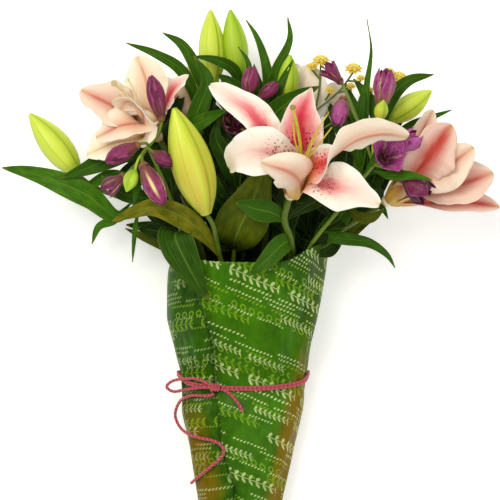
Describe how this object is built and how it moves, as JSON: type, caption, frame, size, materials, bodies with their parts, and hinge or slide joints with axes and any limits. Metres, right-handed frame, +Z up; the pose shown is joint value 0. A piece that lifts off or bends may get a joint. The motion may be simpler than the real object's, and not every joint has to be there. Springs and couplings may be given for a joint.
{
  "type": "mixed flower bouquet",
  "caption": "Hand-tied bouquet of pink lilies, lily buds, purple alstroemeria and leaves in a green film wrap with a cord tie, lying on its back",
  "frame": {"origin": "The middle of the lying bouquet's footprint, on the surface that it lies on", "axes": "+Z up, away from the surface, the way that the flowers face. +Y from the cut stems to the flowers. +X to the right, looking down with the flowers at the top"},
  "size_m": [0.501, 0.5774, 0.2333],
  "materials": {
    "lily_petal": "soft satin petal, white edge with a pink streak and spots",
    "stamen": "waxy pale green",
    "bud": "waxy lime green with ribs",
    "leaf": "smooth leaf with parallel veins",
    "alstro_petal": "satin purple petal",
    "spray": "matt yellow florets",
    "film": "green wrapping film, satin, printed with pale dashes and dots",
    "cord": "twisted raspberry cord with a pale gold strand"
  },
  "bodies": {
    "root": {"wrap": "film", "tie_band": "cord", "tie_tail_long": "cord", "tie_tail_short": "cord", "lily_stem_left": "leaf", "lily_stem_back": "leaf", "lily_stem_centre": "leaf", "lily_stem_right": "leaf", "alstro_stem_left": "leaf", "alstro_stem_centre": "leaf", "alstro_stem_right": "leaf", "spray_stem": "leaf", "foliage_stem_back": "leaf", "lily_centre": "lily_petal", "lily_left": "lily_petal", "lily_right": "lily_petal", "lily_back_top": "lily_petal", "lily_back_left": "lily_petal", "stamens_centre": "stamen", "stamens_left": "stamen", "stamens_right": "stamen", "bud_centre": "bud", "bud_left": "bud", "bud_top_left": "bud", "bud_top_right": "bud", "bud_top_small": "bud", "bud_right": "bud", "alstro_left_top": "alstro_petal", "alstro_left_side": "alstro_petal", "alstro_left_inner": "alstro_petal", "alstro_left_hanging": "alstro_petal", "alstro_left_low": "alstro_petal", "alstro_centre_top": "alstro_petal", "alstro_centre_right": "alstro_petal", "alstro_centre_dark": "alstro_petal", "alstro_right_up": "alstro_petal", "alstro_right_nod": "alstro_petal", "alstro_right_back": "alstro_petal", "alstro_right_front": "alstro_petal", "alstro_right_upper": "alstro_petal", "alstro_right_hanging": "alstro_petal", "spray_head_left": "spray", "spray_head_middle": "spray", "spray_head_right": "spray"}
  },
  "joints": []
}
